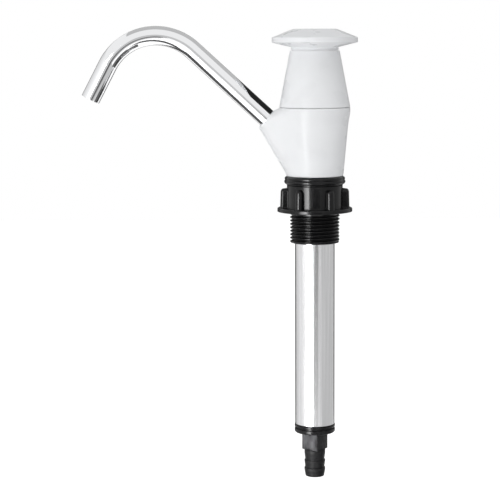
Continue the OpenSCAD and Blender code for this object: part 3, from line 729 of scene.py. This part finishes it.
def head_mesh():
    """Lines run from the socket over the beak's rim to the borders of the unrolled skin, which is closed by
    rings: the gland's pocket from above and the spigot's bore from below."""
    beak = beak_form()
    high, low = head_top_z - HEAD_TOP_ROUND, head_z + HEAD_FOOT_ROUND
    turns = np.linspace(-math.pi, math.pi, SKIN_TURNS + 1)
    sides = side_levels(high, low)[1:-1]
    border = ([(turn, high) for turn in turns] + [(math.pi, z) for z in sides]
              + [(turn, low) for turn in turns[::-1]] + [(-math.pi, z) for z in sides[::-1]])
    vertices, lines = [], []
    for i, (turn, z) in enumerate(border):
        spin = 2 * math.pi * (i - SKIN_TURNS / 2) / len(border)
        points = skin_line(spin, turn, z, beak)
        lines.append(list(range(len(vertices), len(vertices) + len(points))))
        vertices += points
    faces = [[line[j], line[j + 1], after[j + 1], after[j]]
             for line, after in zip(lines, lines[1:] + lines[:1]) for j in range(len(line) - 1)]

    top = [lines[k][-1] for k in range(SKIN_TURNS)]
    foot_end = SKIN_TURNS + 1 + len(sides) + SKIN_TURNS
    foot_ring = [lines[foot_end - k][-1] for k in range(SKIN_TURNS)]
    rings = [top]

    def reach_of(ring):
        return np.array([math.hypot(vertices[k][0], vertices[k][1]) for k in ring])

    def add_ring(reaches, z):
        rings.append(list(range(len(vertices), len(vertices) + SKIN_TURNS)))
        vertices.extend(np.array([-math.cos(turn) * reach, math.sin(turn) * reach, z])
                        for turn, reach in zip(turns, reaches))

    for turn in np.linspace(0, math.pi / 2, 5)[1:]:
        add_ring(reach_of(top) - HEAD_TOP_ROUND * (1 - math.cos(turn)),
                 high + HEAD_TOP_ROUND * math.sin(turn))
    for r, z in inside_rings():
        add_ring([r] * SKIN_TURNS, z)
    for turn in np.linspace(0, math.pi / 2, 7)[:-1]:
        add_ring(reach_of(foot_ring) - HEAD_FOOT_ROUND * (1 - math.sin(turn)),
                 low - HEAD_FOOT_ROUND * math.cos(turn))
    rings.append(foot_ring)
    return vertices, faces + joined_rings(rings)[:-SKIN_TURNS]


head = skinned("head", *head_mesh())
dress(head, white_moulding, "white_plastic", "head", "spout_body")


# ---------------------------------------------------------------- spout
# Chromed half inch tube, pushed into the beak over a cord seal and bent over at the top. Its end is cut
# square and its edges are rounded.
def chrome_plate():
    finish, surface = new_finish("chrome_plate", (0.83, 0.835, 0.845), 0.05, 1.0)
    vary_gloss(finish, surface, grain(finish, 45, 3), 0.035, 0.07)
    roughen(finish, surface, grain(finish, 240, 2), 0.008, 0.02)
    return finish


chrome = chrome_plate()
SPOUT_WALL = 0.9
SPOUT_RUN = 67.1
SPOUT_END = 25.5
SPOUT_EDGE = 0.3
SPOUT_LIP_H = 1.5
BEND_R = 36
BEND_TURN = math.radians(104.8)
BEND_STEPS = 72


def spout_path():
    """Points along the tube, each with the direction square to the tube there, and the way out of its
    mouth."""
    path = [(beak_face + spout_way * along, spout_up)
            for along in np.concatenate([[-SOCKET_DEPTH], np.linspace(0, SPOUT_RUN, 12)])]
    centre = beak_face + spout_way * SPOUT_RUN - spout_up * BEND_R
    for turn in np.linspace(0, BEND_TURN, BEND_STEPS + 1)[1:]:
        square = spout_up * math.cos(turn) + spout_way * math.sin(turn)
        path.append((centre + square * BEND_R, square))
    down = spout_way * math.cos(BEND_TURN) - spout_up * math.sin(BEND_TURN)
    bend_end, square = path[-1]
    path += [(bend_end + down * along, square) for along in np.linspace(0, SPOUT_END, 6)[1:]]
    return path, down


def spout_mesh():
    """Rings up the outside of the tube, round the lip at its mouth and back down the inside."""
    path, down = spout_path()
    inner_r = SPOUT_R - SPOUT_WALL
    lip = outline((SPOUT_R, -SPOUT_LIP_H), (SPOUT_R, 0, SPOUT_EDGE),
                  (inner_r, 0, SPOUT_EDGE), (inner_r, -SPOUT_LIP_H))
    mouth, mouth_square = path[-1]
    stations = [(place, square, SPOUT_R) for place, square in path[:-1]]
    stations += [(mouth + down * z, mouth_square, r) for r, z in lip]
    stations += [(place, square, inner_r) for place, square in path[-2::-1]]
    turns = even_turns(128)
    vertices = [place + r * (math.cos(turn) * square + math.sin(turn) * across)
                for place, square, r in stations for turn in turns]
    rings = [list(range(i * len(turns), (i + 1) * len(turns))) for i in range(len(stations))]
    return vertices, joined_rings(rings)


spout = skinned("spout", *spout_mesh())
dress(spout, chrome, "chrome", "head", "spout_tube")


# ---------------------------------------------------------------- pump rod
# Stainless rod from the piston up to the handle, stepped down at both ends for its threads, with the washer
# and the hexagon nut that clamp the grip's deck.
def polished_steel():
    finish, surface = new_finish("polished_steel", (0.62, 0.62, 0.63), 0.2, 1.0)
    streaks = grain(finish, 900, 3, stretch=(1, 1, 0.02))
    vary_gloss(finish, surface, streaks, 0.14, 0.26)
    roughen(finish, surface, streaks, 0.08, 0.02)
    return finish


def keep_shape(finish, *nodes):
    """Puts a finish on pieces that keep their CAD shape."""
    for name in nodes:
        coat(frame["nodes"][name], finish)


steel = polished_steel()
ROD_SCREW_H = 6
ROD_END_R = 3
DECK_H = 4
GRIP_SPIGOT_H = 3
rod_foot_z = level("piston_rod", 0)
rod_top_z = level("piston_rod", 1)
grip_top_z = level("handle_cone", 1) - GRIP_SPIGOT_H
deck_z = grip_top_z - DECK_H
rod = lathe("rod", outline(
    (0, rod_foot_z), (ROD_END_R, rod_foot_z, 0.4), (ROD_END_R, rod_foot_z + ROD_SCREW_H),
    (rod_r, rod_foot_z + ROD_SCREW_H, EDGE), (rod_r, deck_z, EDGE), (ROD_END_R, deck_z),
    (ROD_END_R, rod_top_z, 0.5), (0, rod_top_z)), even_turns(72))
dress(rod, steel, "stainless", "plunger", "piston_rod")
keep_shape(steel, "rod_nut", "rod_washer", "swivel_clip", "piston_ball", "foot_ball")


# ---------------------------------------------------------------- gland
# White acetal nut with a hexagon head, screwed into the head's top. It holds the bush and the rubber seal
# round the rod. The piston's parts and the foot valve's cage are moulded from the same acetal.
def moulded_acetal():
    finish, surface = new_finish("acetal", (0.7, 0.69, 0.66), 0.38)
    roughen(finish, surface, grain(finish, 1200, 2), 0.08, 0.04)
    return finish


acetal = moulded_acetal()
GLAND_HEX_R = 11.6
GLAND_HEX_H = 3.5
GLAND_CHAMFER_H = 0.9
GLAND_CHAMFER_W = 1.17
GLAND_HOLE_GAP = 0.2
GLAND_HOLE_BEVEL = 0.5
gland_hole_r = rod_r + GLAND_HOLE_GAP
gland_nut_z = level("gland_nut", 0)
gland_nut_top_z = level("gland_nut", 1)
hex_z = gland_nut_top_z - GLAND_HEX_H


def hexagon_shape(r, z, turns):
    """Flattens the nut's head into six sides, with the corners turned off at the top."""
    if r < GLAND_R + 0.5:
        return np.full(len(turns), r)
    sides = GLAND_HEX_R * math.cos(math.pi / 6) / np.cos(turns % (math.pi / 3) - math.pi / 6)
    return np.minimum(r, sides)


gland_nut = lathe("gland_nut_hex", outline(
    (gland_hole_r, gland_nut_z, 0.2), (GLAND_R - RUN_GAP, gland_nut_z, EDGE), (GLAND_R - RUN_GAP, hex_z),
    (GLAND_HEX_R, hex_z), (GLAND_HEX_R, gland_nut_top_z - GLAND_CHAMFER_H),
    (GLAND_HEX_R - GLAND_CHAMFER_W, gland_nut_top_z), (gland_hole_r + GLAND_HOLE_BEVEL, gland_nut_top_z),
    (gland_hole_r, gland_nut_top_z - GLAND_HOLE_BEVEL)), even_turns(144), hexagon_shape, crease=24)
dress(gland_nut, acetal, "inner_plastic", "head", "gland_nut")
keep_shape(acetal, "gland_bush", "piston_cage", "foot_ball_cage", "piston_body")


# ---------------------------------------------------------------- grip
# White hollow cone that the hand lifts, moulded from the same plastic as the head and clamped by its deck to
# the top of the pump rod. Four webs stay the boss round the rod.
GRIP_WALL = 2.4
GRIP_SPIGOT_IN = 4.5
GRIP_SPIGOT_WALL = 2.5
BOSS_H = 8
BOSS_WALL = 3
NECK_R = 16.5
WEB_COUNT = 4
WEB_W = 1.6
WEB_H = 6.5
WEB_DOWN = 2.75
WEB_LAP = 0.8
WEB_WALL_LAP = 1
SEAM_DROP = 0.9
grip_z = level("handle_cone", 0)
grip_r = radius("handle_cone")
grip_spigot_r = NECK_R - GRIP_SPIGOT_IN
nut_recess_r = grip_spigot_r - GRIP_SPIGOT_WALL
boss_r = rod_r + BOSS_WALL
deck_hole_r = ROD_END_R + RUN_GAP
seam_z = grip_top_z - SEAM_DROP
inner_top_r = grip_r - GRIP_WALL - (grip_r - NECK_R) / (grip_top_z - grip_z) * (deck_z - grip_z)
grip = lathe("grip", outline(
    (grip_r - GRIP_WALL, grip_z, EDGE), (grip_r, grip_z, 0.35), (NECK_R, seam_z, EDGE),
    (grip_spigot_r, seam_z), (grip_spigot_r, grip_top_z + GRIP_SPIGOT_H, EDGE),
    (nut_recess_r, grip_top_z + GRIP_SPIGOT_H, EDGE), (nut_recess_r, grip_top_z), (deck_hole_r, grip_top_z),
    (deck_hole_r, deck_z), (rod_r + RUN_GAP, deck_z), (rod_r + RUN_GAP, deck_z - BOSS_H, EDGE),
    (boss_r, deck_z - BOSS_H, 0.4), (boss_r, deck_z, 0.5), (inner_top_r, deck_z, 1)), even_turns(160))
web_length = inner_top_r - boss_r + WEB_LAP + WEB_WALL_LAP
for i in range(WEB_COUNT):
    web = bar("web", (web_length, WEB_W, WEB_H), (boss_r - WEB_LAP + web_length / 2, 0, deck_z - WEB_DOWN),
              math.radians(360 / WEB_COUNT * (i + 0.5)), 0)
    weld(grip, web)
dress(grip, white_moulding, "white_plastic", "plunger", "handle_cone")


# ---------------------------------------------------------------- knob
# White cap that the palm pushes down, pressed over the grip's top ring: a flat top, a long bevel, an upright
# rim and a short neck over the grip.
RIM_UP = 4.5
RIM_H = 3.2
KNOB_FLAT_R = 14.55
KNOB_NECK_IN = 0.5
KNOB_NECK_TAPER = 0.5
KNOB_NECK_H = 1.3
KNOB_GAP = 0.2
NUT_HEADROOM = 0.6
SEAM_GAP = 0.45
SEAM_DEPTH = 1
knob_neck_r = NECK_R - KNOB_NECK_IN
knob_r = radius("knob_cap")
knob_top_z = level("knob_cap", 1)
recess_z = rod_top_z + NUT_HEADROOM
ring_top_z = grip_top_z + GRIP_SPIGOT_H + KNOB_GAP
rim_z = grip_top_z + RIM_UP
knob = lathe("knob", outline(
    (0, recess_z), (nut_recess_r, recess_z, EDGE), (nut_recess_r, ring_top_z),
    (grip_spigot_r + RUN_GAP, ring_top_z), (grip_spigot_r + RUN_GAP, seam_z),
    (knob_neck_r - SEAM_DEPTH, seam_z), (knob_neck_r - SEAM_DEPTH, seam_z + SEAM_GAP),
    (knob_neck_r, seam_z + SEAM_GAP, 0.1), (knob_neck_r - KNOB_NECK_TAPER, grip_top_z + KNOB_NECK_H, 0.4),
    (knob_r, rim_z, 0.5), (knob_r, rim_z + RIM_H, 0.8), (KNOB_FLAT_R, knob_top_z, 1), (0, knob_top_z)),
    even_turns(180))
dress(knob, white_moulding, "white_plastic", "plunger", "knob_cap")


# ---------------------------------------------------------------- seals
# Rings of black rubber cord, moulded in one piece each and pressed into their grooves, and the seal that the
# gland squeezes round the rod. Most of them are hidden inside.
def soft_rubber():
    finish, surface = new_finish("rubber", (0.018, 0.018, 0.018), 0.55)
    roughen(finish, surface, grain(finish, 1800, 2), 0.15, 0.04)
    return finish


keep_shape(soft_rubber(), "piston_seals", "spout_seal", "gland_seal", "swivel_seals", "lock_nut_seal",
           "cylinder_seal", "foot_seal")


# ---------------------------------------------------------------- studio
# A pale floor well below, because the pump is held by its thread, and four soft lamps, the strongest to the
# left of the camera. Shiny pieces don't mirror the lamps but the cards: a bright strip, grey ones all round,
# and dark ones that draw the lines along the spout.
CAMERA_PLACE = Vector((-0.0436, -1.068, 0.1107))
CAMERA_PITCH = math.radians(7.2)
CAMERA_ROLL = math.radians(-0.3)
FOCAL_PX = 1600
PICTURE_PX = 500
SENSOR_MM = 36
PUMP_MIDDLE = Vector((-0.03, 0, 0.02))
FLOOR_Z = -0.65
FLOOR_REACH = 6
FLOOR_GLOW = 0.7
AMBIENT = 0.52
UP = Vector((0, 0, 1))
camera = bpy.data.objects.new("camera", bpy.data.cameras.new("camera"))
camera.data.sensor_width = SENSOR_MM
camera.data.lens = SENSOR_MM * FOCAL_PX / PICTURE_PX
camera.matrix_world = (Matrix.Translation(CAMERA_PLACE)
                       @ Matrix.Rotation(math.pi / 2 - CAMERA_PITCH, 4, "X")
                       @ Matrix.Rotation(CAMERA_ROLL, 4, "Z"))
bpy.context.scene.collection.objects.link(camera)
bpy.context.scene.camera = camera


def put_up(thing, place, turned):
    """Puts a light or a card of the studio in its place."""
    thing.matrix_world = Matrix.Translation(place) @ turned.to_4x4()
    bpy.context.scene.collection.objects.link(thing)


def face_pump(thing, azimuth, lift, distance):
    """Stands a light or a card round the pump, facing it. Azimuth 0 is the camera's side, 90 the right."""
    turn, rise = math.radians(azimuth), math.radians(lift)
    way = Vector((math.sin(turn) * math.cos(rise), -math.cos(turn) * math.cos(rise), math.sin(rise)))
    put_up(thing, PUMP_MIDDLE + way * distance, way.to_track_quat("Z", "Y").to_matrix())


def soft_box(name, azimuth, lift, distance, width, height, radiance):
    """A lamp as large as a studio's soft box, which no shiny piece mirrors."""
    lamp = bpy.data.lights.new(name, "AREA")
    lamp.shape = "RECTANGLE"
    lamp.size = width
    lamp.size_y = height
    lamp.energy = radiance * math.pi * width * height
    box = bpy.data.objects.new(name, lamp)
    box.visible_glossy = False
    face_pump(box, azimuth, lift, distance)


def sheet_mesh(name, half_w, half_h, z=0.0):
    """A level rectangle."""
    mesh = bpy.data.meshes.new(name)
    corners = [(-half_w, -half_h, z), (half_w, -half_h, z), (half_w, half_h, z), (-half_w, half_h, z)]
    mesh.from_pydata(corners, [], [(0, 1, 2, 3)])
    return mesh


def mirror_card(name, width, height, axis, start_tone, end_tone):
    """A card that only shows in shiny pieces. Its tone changes from one edge to the other along an axis."""
    mesh = sheet_mesh(name, width / 2, height / 2)
    finish = bpy.data.materials.new(name)
    finish.use_nodes = True
    nodes, links = finish.node_tree.nodes, finish.node_tree.links
    half = (width if axis == "X" else height) / 2
    glow = nodes.new("ShaderNodeEmission")
    links.new(along_axis(finish, axis, -half, half, start_tone, end_tone), glow.inputs["Strength"])
    links.new(glow.outputs["Emission"], nodes["Material Output"].inputs["Surface"])
    mesh.materials.append(finish)
    card = bpy.data.objects.new(name, mesh)
    card.visible_camera = False
    card.visible_diffuse = False
    card.visible_shadow = False
    card.visible_transmission = False
    return card


soft_box("strip_box", azimuth=-31, lift=-5, distance=1.0, width=0.27, height=0.8, radiance=4.45)
soft_box("left_fill", azimuth=-66, lift=-22, distance=1.2, width=1.0, height=0.36, radiance=2.0)
soft_box("top_fill", azimuth=-10, lift=70, distance=1.1, width=0.8, height=0.6, radiance=1.7)
soft_box("right_fill", azimuth=62, lift=6, distance=1.2, width=0.8, height=0.8, radiance=0.7)
face_pump(mirror_card("strip_card", 0.42, 0.95, "X", 3, 24), azimuth=-36.5, lift=-9, distance=0.98)
face_pump(mirror_card("left_card", 3.7, 1.5, "X", 0.45, 1.3), azimuth=-102, lift=0, distance=1.15)
face_pump(mirror_card("right_card", 3.4, 1.5, "X", 0.66, 0.6), azimuth=80, lift=0, distance=1.15)
face_pump(mirror_card("back_card", 2.2, 1.0, "X", 0.15, 0.15), azimuth=180, lift=-1, distance=1.15)
face_pump(mirror_card("front_card", 0.6, 0.4, "Y", 0.68, 0.0), azimuth=6, lift=-14.5, distance=1.1)
face_pump(mirror_card("lens_card", 0.34, 0.4, "X", 0.6, 0.7), azimuth=-4, lift=5, distance=1.1)


def even_card(name, width, height, tone, middle, along, facing=UP):
    """A card of one tone, at a place in metres, with its width along one direction and facing another."""
    card = mirror_card(name, width, height, "X", tone, tone)
    put_up(card, middle, Matrix((along, facing.cross(along), facing)).transposed())
    return card


# Dark cards low down in front of the pump and on both sides, which draw the lines along the spout, a grey
# one high behind it, and a small dark one close over the beak, whose dark line in the chrome is a painted
# reflection of shade
even_card("low_card", 1.0, 0.28, 0.1, Vector((-0.2, -0.35, FLOOR_Z + 0.03)), Vector((-0.707, 0.707, 0)))
even_card("line_card", 1.7, 0.45, 0.1, Vector((-0.72, 0.13, FLOOR_Z + 0.04)), Vector((-0.5, -0.866, 0)))
even_card("bend_card", 0.9, 0.4, 0.15, Vector((0.45, -0.1, -0.5)), Vector((0, 1, 0)),
          Vector((-0.69, 0, 0.72)))
even_card("arch_card", 0.23, 0.55, 0.15, Vector((0.215, -0.1, FLOOR_Z + 0.05)), Vector((1, 0, 0)))
even_card("top_card", 1.8, 2.3, 0.58, Vector((0.3, 1.0, 0.9)), Vector((1, 0, 0)), -UP)
# A near-black card close over the beak: the dark line it draws along the chrome is a painted reflection of
# shade
BEAK_SHADE_CARD_ALONG = 17
BEAK_SHADE_CARD_OVER = 13
beak_shade_card_middle = beak_face + spout_way * BEAK_SHADE_CARD_ALONG + spout_up * BEAK_SHADE_CARD_OVER
beak_card = even_card("beak_card", 0.034, 0.023, 0.02, Vector(beak_shade_card_middle * MM),
                      Vector(spout_way), Vector(-spout_up))
# One corner is drawn in, so that the painted dark reflection above the beak narrows up the spout
beak_card.data.vertices[1].co.x = 0.001


def seen_directly(tree):
    """1 for rays from the camera, a mirror or a clear piece, and 0 for the light that falls on the pump."""
    path = tree.nodes.new("ShaderNodeLightPath")
    either = path.outputs["Is Camera Ray"]
    for ray in ("Is Glossy Ray", "Is Transmission Ray"):
        join = tree.nodes.new("ShaderNodeMath")
        join.operation = "MAXIMUM"
        tree.links.new(either, join.inputs[0])
        tree.links.new(path.outputs[ray], join.inputs[1])
        either = join.outputs[0]
    return either


def white_world():
    """White where it is seen, and a dimmer light on the pump."""
    world = bpy.data.worlds.new("studio")
    bpy.context.scene.world = world
    world.use_nodes = True
    tree = world.node_tree
    dim = tree.nodes["Background"]
    dim.inputs["Color"].default_value = (1, 1, 1, 1)
    dim.inputs["Strength"].default_value = AMBIENT
    white = tree.nodes.new("ShaderNodeBackground")
    white.inputs["Color"].default_value = (1, 1, 1, 1)
    mix = tree.nodes.new("ShaderNodeMixShader")
    tree.links.new(seen_directly(tree), mix.inputs["Fac"])
    tree.links.new(dim.outputs[0], mix.inputs[1])
    tree.links.new(white.outputs[0], mix.inputs[2])
    tree.links.new(mix.outputs[0], tree.nodes["World Output"].inputs["Surface"])


def pale_floor():
    """A floor that shows as white, and keeps the pump's shadow."""
    finish, surface = new_finish("floor", (0.9, 0.9, 0.9), 0.9)
    tree = finish.node_tree
    glow = tree.nodes.new("ShaderNodeEmission")
    glow.inputs["Strength"].default_value = FLOOR_GLOW
    both = tree.nodes.new("ShaderNodeAddShader")
    mix = tree.nodes.new("ShaderNodeMixShader")
    tree.links.new(surface.outputs[0], both.inputs[0])
    tree.links.new(glow.outputs[0], both.inputs[1])
    tree.links.new(seen_directly(tree), mix.inputs["Fac"])
    tree.links.new(surface.outputs[0], mix.inputs[1])
    tree.links.new(both.outputs[0], mix.inputs[2])
    tree.links.new(mix.outputs[0], tree.nodes["Material Output"].inputs["Surface"])
    mesh = sheet_mesh("floor", FLOOR_REACH, FLOOR_REACH, FLOOR_Z)
    mesh.materials.append(finish)
    floor = bpy.data.objects.new("floor", mesh)
    bpy.context.scene.collection.objects.link(floor)


white_world()
pale_floor()
bpy.context.scene.view_settings.view_transform = "Standard"
